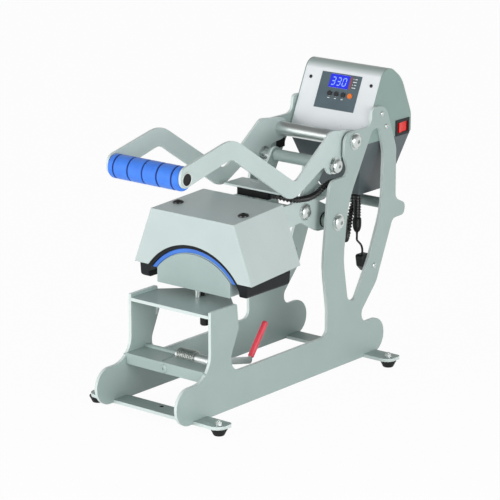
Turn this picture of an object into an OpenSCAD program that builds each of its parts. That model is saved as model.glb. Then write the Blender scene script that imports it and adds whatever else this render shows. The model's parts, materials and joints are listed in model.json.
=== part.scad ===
// Cap heat press, shown closed: two laser-cut side plates carry a toggle-linked
// curved heat platen over a padded cap form, with a controller box on top.
// Millimetres. X to the machine's right, Y to the back, Z up from the floor.
// The origin lies on the floor, under the middle of the overall length.

/* [Frame] */
// Thickness of each side plate
plate_t = 6; // [5:0.5:8]
// Width across the outer faces of the side plates
frame_w = 190; // [180:1:210]
// Height of the rails' top edge
rail_top = 80; // [74:1:86]
// Height of the front necks
neck_top = 202; // [196:1:206]
// Thickness of the platform that joins the necks
platform_t = 6; // [4:0.5:8]
// How far the platform lies below the necks' top edge
platform_drop = 6; // [3:0.5:9]

/* [Feet] */
// Thickness of the foot bars
foot_bar_t = 6; // [4:0.5:8]
// Width of a foot bar
foot_bar_w = 38; // [34:1:44]
// Height of a rubber foot
foot_h = 12; // [10:0.5:14]
// Radius of a rubber foot at its top
foot_r = 15; // [12:0.5:16]
// Distance across the centres of the feet
foot_span = 282; // [262:1:290]

/* [Linkage] */
// Height of the handle pivot
handle_pivot_z = 432; // [430:0.5:434]
// Height of the platen pivot
platen_pivot_z = 290; // [286:0.5:294]
// Thickness of the handle arms
arm_t = 5; // [4:0.5:6]
// Clearance between a handle arm and its side plate
arm_clear = 4.5; // [3:0.25:6]
// Thickness of the links
link_t = 5; // [4:0.5:5.5]
// Thickness of the platen arms
platen_arm_t = 6; // [5:0.5:7]
// Clearance between a platen arm and its side plate
platen_clear = 25; // [23:0.5:27]
// Radius of the handle pivot bolt
pivot_r = 6; // [5:0.25:6.5]
// Radius of the platen pivot shaft
shaft_r = 8; // [7:0.25:9]
// Radius of the link axle
axle_r = 6; // [5:0.25:6.5]
// Radial running clearance of the pivots
running = 0.05; // [0.03:0.01:0.08]

/* [Handle] */
// Outer radius of the handle tube
tube_r = 12.5; // [11:0.5:14]
// Wall of the handle tube
tube_wall = 2; // [1.5:0.25:4]
// Outer radius of the foam grip
grip_r = 21.5; // [19:0.5:24]
// Number of grooves round the grip
grip_grooves = 5; // [3:1:7]

/* [Heat platen] */
// Radius of the padded cap form, over the pad
form_r = 122; // [118:0.5:126]
// Thickness of the silicone pad
pad_t = 8; // [6:0.5:10]
// Half width of the cap form
form_half_w = 84; // [80:1:88]
// Thickness of the cast heat platen
cast_t = 11; // [8:0.5:14]
// Depth of the heat platen from front to back
cast_depth = 118; // [108:1:122]
// Half width of the cover at its top
cover_top_w = 95; // [88:1:100]
// Half width of the cover at its bottom
cover_foot_w = 135; // [130:1:138]
// Sheet thickness of the cover
cover_t = 2; // [1.5:0.25:2.5]
// Height of the cover's top edge at the front
cover_top_z = 345.5; // [342:0.5:349]
// Slope of the cover up to the back, in degrees
cover_slope = 3.4; // [0:0.2:5]

/* [Controller] */
// Sheet thickness of the controller box
box_t = 2; // [1.5:0.25:2.5]
// Width of the display window
display_w = 45; // [40:1:50]
// Height of the display window
display_h = 26; // [22:1:28]
// Radius of the round keys
key_r = 5; // [4:0.25:6]
// Distance between keys
key_pitch = 15.5; // [14.5:0.5:17]
// Travel of a key
key_travel = 0.8; // [0.4:0.1:1.2]

/* [Hold-down] */
// Wire diameter of the return spring
wire_d = 2.4; // [1.8:0.1:2.8]
// Number of turns of the return spring
spring_turns = 10; // [6:1:10]
// Mean radius of the return spring
spring_r = 12; // [11:0.5:13.5]
// Pitch of the return spring
spring_pitch = 4; // [3.3:0.1:4.2]
// Radius of the hold-down shaft
rod_r = 5; // [4:0.25:6]

/* [Cables] */
// Radius of the heater cable
cable_r = 6; // [5:0.25:6.5]
// Radius of the sensor lead
lead_r = 2; // [1.5:0.25:2.5]

/* [Hidden] */
$fn = 48;
eps = 0.01;
gap = 0.3;

x_out = frame_w / 2;
x_in = x_out - plate_t;
bar_top = foot_h + foot_bar_t;
plate_bottom = foot_h + 1;
platform_z = neck_top - platform_drop;

// Pivot centres as [y, z]
A = [158, handle_pivot_z];
B = A + [-48, -38];
D = [109, platen_pivot_z];
C = D + [-58, 26];
G = [-298, 446];
link_angle = atan2(C.y - B.y, C.x - B.x);

// Layers outwards from the middle
arm_out = x_in - arm_clear;
arm_in = arm_out - arm_t;
platen_out = x_in - platen_clear;
platen_in = platen_out - platen_arm_t;
link_out = platen_in - 3;
link_in = link_out - link_t;
bush_wall = 3;
bush_flange = 1.5;

// Sideways play of the open pivot between link and platen arm
open_play = 3.6;
joint_r = 5;

// Platen and cap form
form_z = 163;
form_front = -182;
form_back = form_front + 104;
cast_front = form_front - 3;
cast_back = cast_front + cast_depth;
cover_front = cast_front - 3;
cover_back = cast_back + 20;
cover_foot_z = 241;
cast_in = form_r + gap;
cast_out = cast_in + cast_t;
hanger_z = form_z + cast_out + 9;
hanger_t = 6;
carrier_top = 365;
carrier_t = 4;
post_y = cover_front + 51;
post_x = 75;

// Controller box
box_half = x_in - 0.6;
face_foot = [194, 417];
face_head = [258.6, 561];
face_tilt = atan2(face_head.y - face_foot.y, face_head.x - face_foot.x);
tray_z = 305;

// Arc of a rounded corner b between its neighbours a and c
function corner(a, b, c) =
    let (p = [b.x, b.y], u = unit([a.x, a.y] - p), v = unit([c.x, c.y] - p),
        half = acos(max(-1, min(1, u * v))) / 2,
        reach = 0.49 * min(norm([a.x, a.y] - p), norm([c.x, c.y] - p)),
        r = min(b.z, reach * tan(half)),
        m = p + unit(u + v) * r / sin(half),
        s = p + u * r / tan(half) - m,
        e = p + v * r / tan(half) - m,
        from = atan2(s.y, s.x),
        turn = (atan2(e.y, e.x) - from + 540) % 360 - 180,
        steps = max(2, ceil(abs(turn) / 10)))
    [for (i = [0:steps]) m + r * [cos(from + turn * i / steps), sin(from + turn * i / steps)]];
function unit(v) = v / norm(v);

// Outline through corners given as [across, up, radius]
function rounded(pts) = let (n = len(pts))
    [for (i = [0:n - 1]) each (pts[i].z > 0 ? corner(pts[(i + n - 1) % n], pts[i], pts[(i + 1) % n])
        : [[pts[i].x, pts[i].y]])];

// The same corners moved inwards by d, for a clockwise list
function inset(pts, d) = let (n = len(pts))
    [for (i = [0:n - 1])
        let (p = [pts[i].x, pts[i].y], q = pts[(i + n - 1) % n], w = pts[(i + 1) % n],
            u = unit(p - [q.x, q.y]), v = unit([w.x, w.y] - p),
            nu = [u.y, -u.x], nv = [v.y, -v.x], m = p + d * (nu + nv) / (1 + nu * nv))
        [m.x, m.y, max(0.1, pts[i].z - d)]];

// Extrudes a [y, z] outline along X
module slab(x, t) { translate([x, 0, 0]) rotate([90, 0, 90]) linear_extrude(t) children(); }
// Extrudes an [x, z] outline along Y
module across(y, t) { translate([0, y + t, 0]) rotate([90, 0, 0]) linear_extrude(t) children(); }
module rod(c, r, x0, x1) { translate([x0, c.x, c.y]) rotate([0, 90, 0]) cylinder(h = x1 - x0, r = r); }
module ring(c, r, bore, x0, x1) {
    difference() {
        rod(c, r, x0, x1);
        rod(c, bore, x0 - 1, x1 + 1);
    }
}
module pair() {
    children();
    mirror([1, 0, 0]) children();
}

// Button head with a hexagon socket, standing on z = 0
module button_head(r, h, socket) {
    difference() {
        rotate_extrude() polygon(concat([[0, 0], [r, 0]],
            [for (i = [0:4]) [r * cos(i * 18), h * (0.25 + 0.75 * sin(i * 18))]], [[0, h]]));
        translate([0, 0, h * 0.45]) cylinder(h = h, r = socket, $fn = 6);
    }
}
module head_x(c, x, r, h, socket) { translate([x, c.x, c.y]) rotate([0, 90, 0]) button_head(r, h, socket); }
module hex_nut(r, h, bore) {
    difference() {
        cylinder(h = h, r = r, $fn = 6);
        translate([0, 0, -1]) cylinder(h = h + 2, r = bore);
    }
}

// Side plates: foot lobes, front neck, rail and the tower with its leaf opening
lobe_r = 34;
neck_front = -250;
neck_back = -179;
lug = [300, 281];
plate_corners = [
    [-342, plate_bottom, lobe_r], [-342, rail_top + 1, lobe_r], [neck_front, rail_top + 1, 56],
    [neck_front, neck_top, 3], [neck_back, neck_top, 3], [neck_back + 5, neck_top - 45, 4],
    [neck_back - 30, rail_top, 25], [80, rail_top, 16], [80, rail_top + 50, 80],
    [67, 215, 160], [79, 325, 100], [B.x - 24, B.y - 24, 18], [B.x + 35, B.y - 23, 17],
    [A.x - 30, B.y + 14, 10], [A.x - 29, A.y + 19, 20], [A.x + 49, A.y + 19, 16],
    [A.x + 53, A.y + 53, 11], [A.x + 94, A.y + 51, 30], [286, 398, 40], [286, lug.y + 19, 16],
    [lug.x + 18, lug.y + 4, 12], [lug.x + 13, lug.y - 17, 10], [278, lug.y - 18, 14], [229, 152, 40],
    [162, rail_top + 1, 17], [254, rail_top + 1, lobe_r], [254, plate_bottom, lobe_r]];
leaf_corners = [
    [141, 137, 12], [127, 215, 120], [140, 320, 150], [A.x + 53, A.y + 11, 12], [A.x + 75, A.y + 13, 12],
    [247, 395, 60], [243, 290, 150], [206, 203, 150], [160, 128, 18]];
clamp_at = [221, 184];
clamp_x = x_in - 8;
clamp_top = 208;
horn_holes = [[240, 469], [254, 443]];
rod_at = [-211, rail_top + 17];
crossbar_y = -265;
crossbar_t = 6;
shelf_z = rail_top + 15;
tenon_h = 12;
front_bar_y = -280;
rear_bar_y = 211;

module side_plate() {
    slab(x_in, plate_t) difference() {
        polygon(rounded(plate_corners));
        polygon(rounded(leaf_corners));
        translate(A) circle(r = pivot_r + running);
        translate(D) circle(r = shaft_r + running);
        translate(clamp_at) circle(r = 3.1);
        for (h = horn_holes) translate(h) circle(r = 2.6);
        translate([crossbar_y, shelf_z - tenon_h]) square([crossbar_t, tenon_h]);
        for (y = [front_bar_y, rear_bar_y]) translate([y - foot_bar_w / 2, 0]) square([foot_bar_w, bar_top]);
    }
}
module right_side_plate() { color("#aab6b3") side_plate(); }
module left_side_plate() { color("#aab6b3") mirror([1, 0, 0]) side_plate(); }

// Platform between the necks, with two sockets for the cap form's posts and a gusset in each corner
post_r = 5;
post_ys = [form_front + 9, form_front + 21];
tongue_half = 48;
tongue_back = form_front + 43;
gusset_r = 41;
gusset_t = 6;
module gusset() {
    across(neck_back - gusset_t, gusset_t) translate([x_in, platform_z - platform_t]) difference() {
        translate([-gusset_r, -gusset_r]) square(gusset_r);
        translate([-gusset_r, -gusset_r]) circle(r = gusset_r);
    }
}
module platform() {
    color("#8d9b98") pair() gusset();
    color("#8d9b98") translate([0, 0, platform_z - platform_t]) linear_extrude(platform_t) difference() {
        polygon([[-x_in, neck_front - 2], [x_in, neck_front - 2], [x_in, neck_back],
            [tongue_half, tongue_back], [-tongue_half, tongue_back], [-x_in, neck_back]]);
        for (y = post_ys) translate([0, y]) circle(r = post_r + running);
    }
}
// Black rubber stops: under the platform's front right corner, and on the left tower
tower_stop = [3.4, 22, 16];
module rubber_stop() {
    color("#1c1d1f") {
        translate([x_in - 13, neck_front + 6, platform_z - platform_t]) mirror([0, 0, 1])
            rotate_extrude() polygon([[0, 0], [7, 0], [8, 2], [8, 12], [6.5, 14], [0, 14]]);
        translate([-x_in, A.x + 1, A.y - 40]) cube(tower_stop);
    }
}

// Bent bar across the front, tenoned into the plates, with its button screw; the shelf behind it has
// a slot that the spring's front leg swings through, and stops short of the spring and the lever
shelf_t = 2;
shelf_back = rod_at.x - rod_r - 0.5;
coil_x = -10;
leg_x = coil_x;
module front_crossbar() {
    notch_y = rod_at.x - spring_r - wire_d - 2;
    color("#b4bfbc") {
        translate([-x_out, crossbar_y, shelf_z - tenon_h]) cube([2 * x_out, crossbar_t, tenon_h]);
        translate([-x_in, crossbar_y, shelf_z - 18]) cube([2 * x_in, crossbar_t, 18 - tenon_h]);
        difference() {
            translate([-x_in, crossbar_y, shelf_z]) cube([2 * x_in, shelf_back - crossbar_y, shelf_t]);
            translate([hub_x - 2, notch_y, shelf_z - 1]) cube([bar_x + bar_t + 4 - hub_x, 60, shelf_t + 2]);
            translate([leg_x - wire_d - 1, crossbar_y + crossbar_t, shelf_z - 1])
                cube([2 * wire_d + 2, 60, shelf_t + 2]);
        }
        translate([0, crossbar_y, rail_top + 6]) rotate([90, 0, 0]) button_head(7.5, 2.8, 2.5);
    }
}
module rear_cross_tube() { color("#7f8b89") ring(lug, 10, 7.5, -x_in, x_in); }

// Straight foot bars let into the plates' lower edges, with rounded ends that reach past them
bench_hole_y = -272;
bar_end = foot_span / 2 + 13;
foot_dy = -4;
foot_corner = 22;
module foot_bar(y) {
    w = foot_bar_w / 2;
    translate([0, y, foot_h]) linear_extrude(foot_bar_t) difference() {
        polygon(rounded([[-bar_end, w, 8], [bar_end, w, 8],
            [bar_end, -w, foot_corner], [-bar_end, -w, foot_corner]]));
        for (s = [-1, 1]) translate([s * foot_span / 2, foot_dy]) circle(r = 3.1);
    }
}
module foot_bars() {
    color("#9aa7a4") {
        difference() {
            foot_bar(front_bar_y);
            translate([0, bench_hole_y, 0]) cylinder(h = 30, r = 4);
        }
        foot_bar(rear_bar_y);
    }
}
module at_feet() {
    for (y = [front_bar_y, rear_bar_y]) pair() translate([foot_span / 2, y + foot_dy, 0]) children();
}
module rubber_feet() {
    color("#1c1d1f") at_feet() difference() {
        rotate_extrude() polygon([[0, 0], [foot_r - 6, 0], [foot_r - 5, 1], [foot_r - 0.6, foot_h - 2],
            [foot_r, foot_h - 1.4], [foot_r, foot_h], [0, foot_h]]);
        translate([0, 0, 2]) cylinder(h = foot_h, r = 3.1);
    }
}
module foot_bolts() {
    color("#d9dcda") at_feet() {
        translate([0, 0, 2.2]) cylinder(h = bar_top + 7, r = 3);
        translate([0, 0, bar_top]) difference() {
            cylinder(h = 1.6, r = 7);
            translate([0, 0, -1]) cylinder(h = 4, r = 2.9);
        }
        translate([0, 0, bar_top + 1.6]) hex_nut(6, 5, 2.9);
    }
}
// Screws through the plates into the box and the clamp, and the two on the box's face
module frame_screws() {
    color("#dfe3e1") {
        pair() for (h = horn_holes) {
            head_x(h, x_out, 4.6, 2.6, 1.8);
            rod(h, 2.5, box_half - box_t - 3, x_out);
        }
        head_x(clamp_at, x_out, 5, 3, 2);
        rod(clamp_at, 3, x_in - 10, x_out);
    }
    color("#1b1c1e") for (u = [-70, 70]) on_face(u, 110) button_head(3.4, 2, 1.3);
}

// Pivot bolts and the fixed spacers on them
head_r = 13;
head_h = 7;
washer_r = 15.5;
washer_t = 2;
module pivot(c, r) {
    rod(c, r, -x_out - washer_t, x_out + washer_t);
    pair() {
        ring(c, washer_r, r, x_out, x_out + washer_t);
        head_x(c, x_out + washer_t, head_r, head_h, 4);
    }
}
module handle_pivot_bolt() { color("#dfe3e1") pivot(A, pivot_r); }
module platen_pivot_shaft() { color("#dfe3e1") pivot(D, shaft_r); }
module tower_spacers() {
    color("#c9cfcd") pair() {
        ring(A, pivot_r + 5, pivot_r + running, arm_out + bush_flange + gap, x_in);
        ring(D, shaft_r + 5, shaft_r + running, platen_out + bush_flange + gap, x_in);
    }
}

// Handle arms: front rise, drop to the valley, climb to the tower, lug for the link
arm_half = 19;
arm_corners = [
    [G.x - 17, G.y + arm_half, 17], [-176, G.y + 50, 60], [-2, G.y - 62, 14], [A.x - 56, A.y + 27, 20],
    [A.x + 21, A.y + 17, 19], [A.x + 21, A.y - 21, 19], [B.x + 23, B.y + 12, 6], [B.x + 15, B.y - 15, 15],
    [B.x - 15, B.y - 15, 15], [B.x - 28, B.y + 4, 10], [-12, 350, 40], [-180, G.y + 14, 24],
    [G.x - 17, G.y - arm_half, 17]];
module handle_arm() {
    slab(arm_in, arm_t) difference() {
        polygon(rounded(arm_corners));
        translate(A) circle(r = pivot_r + bush_wall);
        translate(B) circle(r = axle_r);
        translate(G) circle(r = tube_r);
    }
}
module right_handle_arm() { color("#aab6b3") handle_arm(); }
module left_handle_arm() { color("#aab6b3") mirror([1, 0, 0]) handle_arm(); }
module handle_cross_tube() { color("#d5dbd9") ring(A, 13, 10, -arm_in, arm_in); }
module handle_bar() { color("#c9d0ce") ring(G, tube_r, tube_r - tube_wall, -arm_out - 0.5, arm_out + 0.5); }
// Black nylon: the flanged bushes of the handle's pivot, and the plugs set back in the tube's ends
plug_set = 1.5;
plug_t = 6;
module handle_bushes() {
    color("#1c1d1f") pair() {
        ring(A, pivot_r + bush_wall, pivot_r + running, arm_in, arm_out);
        ring(A, pivot_r + bush_wall + 3, pivot_r + running, arm_out, arm_out + bush_flange);
        rod(G, tube_r - tube_wall, arm_out + 0.5 - plug_set - plug_t, arm_out + 0.5 - plug_set);
    }
}
module platen_bushes() {
    color("#1c1d1f") pair() {
        ring(D, shaft_r + bush_wall, shaft_r + running, platen_in, platen_out);
        ring(D, shaft_r + bush_wall + 3, shaft_r + running, platen_out, platen_out + bush_flange);
    }
}
// Foam grip with rounded ends and turned grooves
grip_half = arm_in - 0.5;
groove_w = 1.6;
groove_pitch = 2 * grip_half / (grip_grooves - 0.2);
function groove(x) = [[grip_r, x - groove_w], [grip_r - 2, x - groove_w / 3], [grip_r - 2, x + groove_w / 3],
    [grip_r, x + groove_w]];
module grip() {
    color("#3c7fe8") translate([0, G.x, G.y]) rotate([0, 90, 0]) rotate_extrude() polygon(concat(
        [[tube_r, -grip_half], [grip_r - 5, -grip_half], [grip_r - 1.5, -grip_half + 1.5],
            [grip_r, -grip_half + 5]],
        [for (i = [0:grip_grooves - 1]) each groove((i - (grip_grooves - 1) / 2) * groove_pitch)],
        [[grip_r, grip_half - 5], [grip_r - 1.5, grip_half - 1.5], [grip_r - 5, grip_half],
            [tube_r, grip_half]]));
}

// Link axle with its collars, washers and heads; the painted centre tube is a piece of its own
collar_r = 11;
collar_out = arm_out + washer_t + 4.5;
module link_axle() {
    color("#dfe3e1") {
        rod(B, axle_r, -collar_out, collar_out);
        pair() {
            ring(B, collar_r, axle_r, link_out + gap, link_out + 9);
            ring(B, 8.5, axle_r, link_out + 9, arm_in - 4);
            ring(B, collar_r + 1, axle_r, arm_in - 4, arm_in);
            ring(B, washer_r, axle_r, arm_out, arm_out + washer_t);
            ring(B, collar_r, axle_r, arm_out + washer_t, collar_out);
            head_x(B, collar_out, head_r, head_h, 4);
        }
    }
}
module axle_sleeves() { color("#b9c3c0") ring(B, collar_r, axle_r, -link_in + gap, link_in - gap); }
link_half = 15;
module link() {
    slab(link_in, link_t) difference() {
        union() {
            translate(B) circle(r = link_half);
            translate(C) circle(r = link_half);
            translate(B) rotate(link_angle) translate([0, -link_half + 1]) square([norm(C - B), 2 * link_half - 2]);
        }
        translate(B) circle(r = axle_r + running);
        translate(C) circle(r = joint_r + open_play);
    }
}
module right_link() { color("#93a19e") link(); }
module left_link() { color("#93a19e") mirror([1, 0, 0]) link(); }

// Platen arms run from the pivot through the link joint into the cover
hanger_ys = [cast_front + 26, cast_back - 26];
arm_front = cast_front + 14;
carrier_front = -21;
carrier_back = 30;
tab_front = 17;
platen_corners = [
    [arm_front, hanger_z - 4, 6], [arm_front, hanger_z + 24, 10], [-40, hanger_z + 32, 20],
    [tab_front - 1, hanger_z + 32, 3], [tab_front, carrier_top - carrier_t, 3],
    [carrier_back, carrier_top - carrier_t, 3], [carrier_back + 3, C.y + 22, 6], [C.x + 22, C.y + 22, 12],
    [D.x + 20, D.y + 20, 20], [D.x + 20, D.y - 20, 20], [D.x - 20, D.y - 18, 18],
    [C.x - 12, C.y - 18, 14], [-34, hanger_z - 14, 10]];
module platen_arm() {
    slab(platen_in, platen_arm_t) difference() {
        polygon(rounded(platen_corners));
        translate(D) circle(r = shaft_r + bush_wall);
        translate(C) circle(r = joint_r);
    }
}
module right_platen_arm() { color("#9aa8a5") platen_arm(); }
module left_platen_arm() { color("#9aa8a5") mirror([1, 0, 0]) platen_arm(); }
module platen_cross_tube() { color("#6f7b79") ring(D, 13, shaft_r + 1, -platen_in, platen_in); }
// Shoulder bolts of the open pivot, with washers either side of the link
module link_joint_bolts() {
    color("#dfe3e1") pair() {
        rod(C, joint_r, link_in - 5, platen_out + washer_t);
        ring(C, washer_r, joint_r, platen_out, platen_out + washer_t);
        head_x(C, platen_out + washer_t, head_r, head_h, 4);
        ring(C, 12, joint_r, link_out + gap, platen_in);
        ring(C, 10, joint_r, link_in - 5, link_in - gap);
    }
}

// Carrier plate on the arms' tabs, with its rolled front edge and two slots
module carrier_plate() {
    color("#b4bfbc") difference() {
        union() {
            translate([-platen_out, carrier_front, carrier_top - carrier_t])
                cube([2 * platen_out, carrier_back - carrier_front, carrier_t]);
            rod([carrier_front, carrier_top - carrier_t / 2], carrier_t / 2, -platen_out, platen_out);
        }
        for (s = [-1, 1]) translate([s * 22, 12, carrier_top - carrier_t - 1]) {
            for (d = [-6, 6]) translate([d, 0, 0]) cylinder(h = carrier_t + 2, r = 4);
            translate([-6, -4, 0]) cube([12, 8, carrier_t + 2]);
        }
    }
}
magnet = [72, 22, 14];
magnet_y = -20;
module magnet_block() {
    color("#17181a") translate([-magnet.x / 2, magnet_y, carrier_top - carrier_t - magnet.z]) cube(magnet);
}
stud_x = 34;
stud_r = 4;
module hanger_plate() {
    color("#9aa8a5") difference() {
        translate([-platen_in, arm_front + 2, hanger_z]) cube([2 * platen_in, cast_depth - 30, hanger_t]);
        for (x = [-stud_x, stud_x], y = hanger_ys) translate([x, y, hanger_z - 1])
            cylinder(h = hanger_t + 2, r = stud_r + 0.1);
    }
}
// A place on the cover's sloping top, where its screws and posts stand square to it
module at_post() {
    pair() translate([post_x, post_y, cover_top_z + cover_rise(post_y)]) rotate([cover_slope, 0, 0]) children();
}
post_len = cover_top_z + cover_rise(post_y) - form_z - sqrt(cast_in * cast_in - post_x * post_x) - 6;
module platen_studs() {
    color("#c9cfcd") {
        for (x = [-stud_x, stud_x], y = hanger_ys) {
            translate([x, y, stud_foot(x)]) cylinder(h = hanger_z + hanger_t + 7 - stud_foot(x), r = stud_r);
            translate([x, y, hanger_z + hanger_t]) hex_nut(7, 5, 3.9);
            translate([x, y, hanger_z - 5]) hex_nut(7, 5, 3.9);
        }
        at_post() difference() {
            translate([0, 0, -post_len]) cylinder(h = post_len - cover_t, r = 5);
            translate([0, 0, -20]) cylinder(h = 30, r = 2.5);
        }
    }
}
function stud_foot(x) = form_z + sqrt(cast_in * cast_in - x * x) + cast_t / 2;

// Curved black casting that closes over the cap form, with ears that hang down past the form's sides
lug_foot = 216;
lug_in = 104.5;
lug_out = 122;
cast_lug = [[98, lug_foot, 0], [lug_out, lug_foot, 7], [lug_out + 2, cover_foot_z - 2, 2],
    [lug_out + 1, cover_foot_z + 8, 2], [98, cover_foot_z + 8, 0]];
module cast_section() {
    difference() {
        union() {
            intersection() {
                translate([0, form_z]) circle(r = cast_out, $fn = 96);
                translate([-110, lug_foot]) square([220, 120]);
            }
            for (s = [0, 1]) mirror([s, 0]) polygon(rounded(cast_lug));
        }
        intersection() {
            translate([0, form_z]) circle(r = cast_in, $fn = 96);
            translate([-lug_in, form_z]) square([2 * lug_in, cast_in + 1]);
        }
    }
}
module heat_platen() {
    color("#1f2123") difference() {
        union() {
            intersection() {
                across(cast_front, cast_depth) cast_section();
                slab(-cast_out, 2 * cast_out) polygon(rounded([[cast_front, cast_out + form_z + 1, 0],
                    [cast_back, cast_out + form_z + 1, 0], [cast_back, lug_foot, 6], [cast_front, lug_foot, 6]]));
            }
            pair() for (y = [cast_front + 8, cast_back - 14]) translate([92, y, cover_foot_z + 4])
                cube([18, 6, 16]);
        }
        for (x = [-stud_x, stud_x], y = hanger_ys) translate([x, y, stud_foot(x)])
            cylinder(h = 30, r = stud_r + 0.02);
        at_post() translate([0, 0, -post_len]) cylinder(h = 30, r = 5.02);
    }
}
module cover_screws() {
    color("#1b1c1e") at_post() {
        button_head(10, 5, 3.5);
        translate([0, 0, -12]) cylinder(h = 12, r = 2.4);
    }
}
// Folded sheet cover: sides splay outwards, top and foot slope up to the back, the front has the arch
// and the back lets the arms in
function cover_rise(y) = (y - cover_front) * tan(cover_slope);
function cover_at(z) = cover_top_w + (cover_foot_w - cover_top_w) * (cover_top_z - z) / (cover_top_z - cover_foot_z);
module cover_solid(d, foot) {
    front = cover_front + d;
    back = cover_back - d;
    high = cover_top_z + cover_rise(cover_back);
    intersection() {
        across(front, back - front) polygon([[d - cover_at(high), high], [cover_at(high) - d, high],
            [cover_at(foot) - d, foot], [d - cover_at(foot), foot]]);
        slab(-2 * cover_foot_w, 4 * cover_foot_w) polygon([
            [front, foot], [front, cover_top_z + cover_rise(front) - d],
            [back, cover_top_z + cover_rise(back) - d], [back, foot + cover_rise(back)]]);
    }
}
arch_r = form_r + 7;
module platen_cover() {
    color("#c7cfce") difference() {
        cover_solid(0, cover_foot_z);
        cover_solid(cover_t, cover_foot_z - 5);
        across(cover_front - 1, cover_t + 2) translate([0, form_z]) circle(r = arch_r, $fn = 96);
        pair() translate([platen_in - 3, cover_back - cover_t - 1, cover_foot_z - 1])
            cube([platen_arm_t + 6, cover_t + 2, hanger_z + 35 - cover_foot_z]);
        at_post() translate([0, 0, -cover_t - 1]) cylinder(h = cover_t + 2, r = 3);
    }
}

// Cap form: cored block, front plate, silicone pad and two posts
form_foot = 211;
module form_section(r, foot) {
    intersection() {
        translate([0, form_z]) circle(r = r, $fn = 96);
        translate([-form_half_w, foot]) square([2 * form_half_w, 120]);
    }
}
module lower_platen() {
    color("#b2bdba") difference() {
        across(form_front, form_back - form_front) form_section(form_r - pad_t, form_foot + 2);
        for (y = [form_front + 6, (form_front + form_back) / 2 + 3], s = [-1, 1])
            across(y, (form_back - form_front) / 2 - 9) intersection() {
                translate([0, form_z]) circle(r = form_r - pad_t - 8, $fn = 96);
                translate([s * (form_half_w / 2 + 4), form_foot + 40])
                    square([form_half_w - 24, 100], center = true);
            }
    }
}
module form_front_plate() {
    color("#b4bfbc") across(form_front - 3, 3) form_section(form_r - pad_t - 1.5, form_foot);
}
pad_end = 37;
module form_pad() {
    color("#3f78d0") across(form_front - 1, form_back - form_front + 1) difference() {
        translate([0, form_z]) circle(r = form_r, $fn = 96);
        translate([0, form_z]) circle(r = form_r - pad_t, $fn = 96);
        translate([-200, form_z - 200]) square([400, 200 + form_r * sin(pad_end)]);
    }
}
// Silver post with its collar under the platform, and the black locating pin behind it
module form_posts() {
    module post(y, r) {
        translate([0, y, platform_z - platform_t]) cylinder(h = form_foot + 2 - platform_z + platform_t, r = r);
        translate([0, y, platform_z - platform_t - 6]) cylinder(h = 6, r = r + 0.8);
    }
    color("#dfe3e1") post(post_ys[0], post_r);
    color("#1c1d1f") post(post_ys[1], post_r);
}

// Controller box: bent wrap, two side panels, tapered tray under it
box_back = 340;
box_corners = [[face_foot.x, face_foot.y, 4], [face_head.x, face_head.y, 27], [309, 525, 60],
    [box_back, 454, 40], [box_back, face_foot.y, 6]];
inlet = [28, 20];
inlet_at = [-40, 433];
module control_wrap() {
    color("#c2cac9") difference() {
        slab(-box_half + box_t, 2 * (box_half - box_t)) difference() {
            polygon(rounded(box_corners));
            polygon(rounded(inset(box_corners, box_t)));
        }
        translate([inlet_at.x - inlet.x / 2, box_back - 10, inlet_at.y - inlet.y / 2]) cube([inlet.x, 20, inlet.y]);
    }
}
module control_sides() {
    color("#8fa39d") {
        difference() {
            slab(box_half - box_t, box_t) polygon(rounded(box_corners));
            translate([box_half - box_t - 1, switch_at.x - 18, switch_at.y - 12]) cube([box_t + 2, 36, 24]);
            for (h = horn_holes) rod(h, 2.6, box_half - box_t - 1, box_half + 1);
        }
        mirror([1, 0, 0]) difference() {
            slab(box_half - box_t, box_t) polygon(rounded(box_corners));
            for (h = horn_holes) rod(h, 2.6, box_half - box_t - 1, box_half + 1);
        }
    }
}
tray_half = 40;
tray_back = box_back - 4;
function tray_at(z) = tray_half + (box_half - tray_half) * (z - tray_z) / (face_foot.y - tray_z);
function tray_corners(lift) = [[face_foot.x + 4 - lift / 5, face_foot.y + lift, 0],
    [tray_back, face_foot.y + lift, 0], [tray_back - 2, tray_z, 6], [243, tray_z, 6], [206, 378, 8]];
// Hopper under the box: side outline met by the funnel that narrows to the bottom
module tray_solid(d, lift) {
    high = face_foot.y + lift;
    intersection() {
        slab(-2 * box_half, 4 * box_half) polygon(rounded(inset(tray_corners(lift + d), d)));
        across(100, 300) polygon([[d - tray_at(high), high], [tray_at(high) - d, high],
            [tray_half - d, tray_z], [d - tray_half, tray_z]]);
    }
}
module control_tray() {
    color("#5f6d6b") difference() {
        tray_solid(0, 0);
        tray_solid(box_t, 5);
    }
}

// On the face: s runs up the slope, u along X, z out of the face
module on_face(u, s) {
    translate([u, face_foot.x + s * cos(face_tilt), face_foot.y + s * sin(face_tilt)])
        rotate([face_tilt, 0, 0]) children();
}
overlay = [92, 69, 0.6];
overlay_s = 55;
display_s = 96;
display_u = -25;
keys_s = 84.5;
keys_u = -17;
module face_overlay() {
    color("#55656c") on_face(0, overlay_s) difference() {
        translate([-overlay.x / 2, 0, 0]) cube(overlay);
        translate([display_u, display_s - overlay_s, -1]) cube([display_w, display_h, 3]);
        for (i = [0:3]) translate([keys_u + i * key_pitch, keys_s - overlay_s, -1]) cylinder(h = 3, r = key_r + 0.4);
    }
}
module display() {
    color("#2430d8") on_face(display_u + gap, display_s + gap) cube([display_w - 2 * gap, display_h - 2 * gap, 0.5]);
}
module key(i) { on_face(keys_u + i * key_pitch, keys_s) translate([0, 0, key_travel + 0.1]) cylinder(h = 1.6, r = key_r); }
module key_1() { color("#2b3036") key(0); }
module key_2() { color("#2b3036") key(1); }
module key_3() { color("#2b3036") key(2); }
module key_start() { color("#f08a2a") key(3); }
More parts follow.
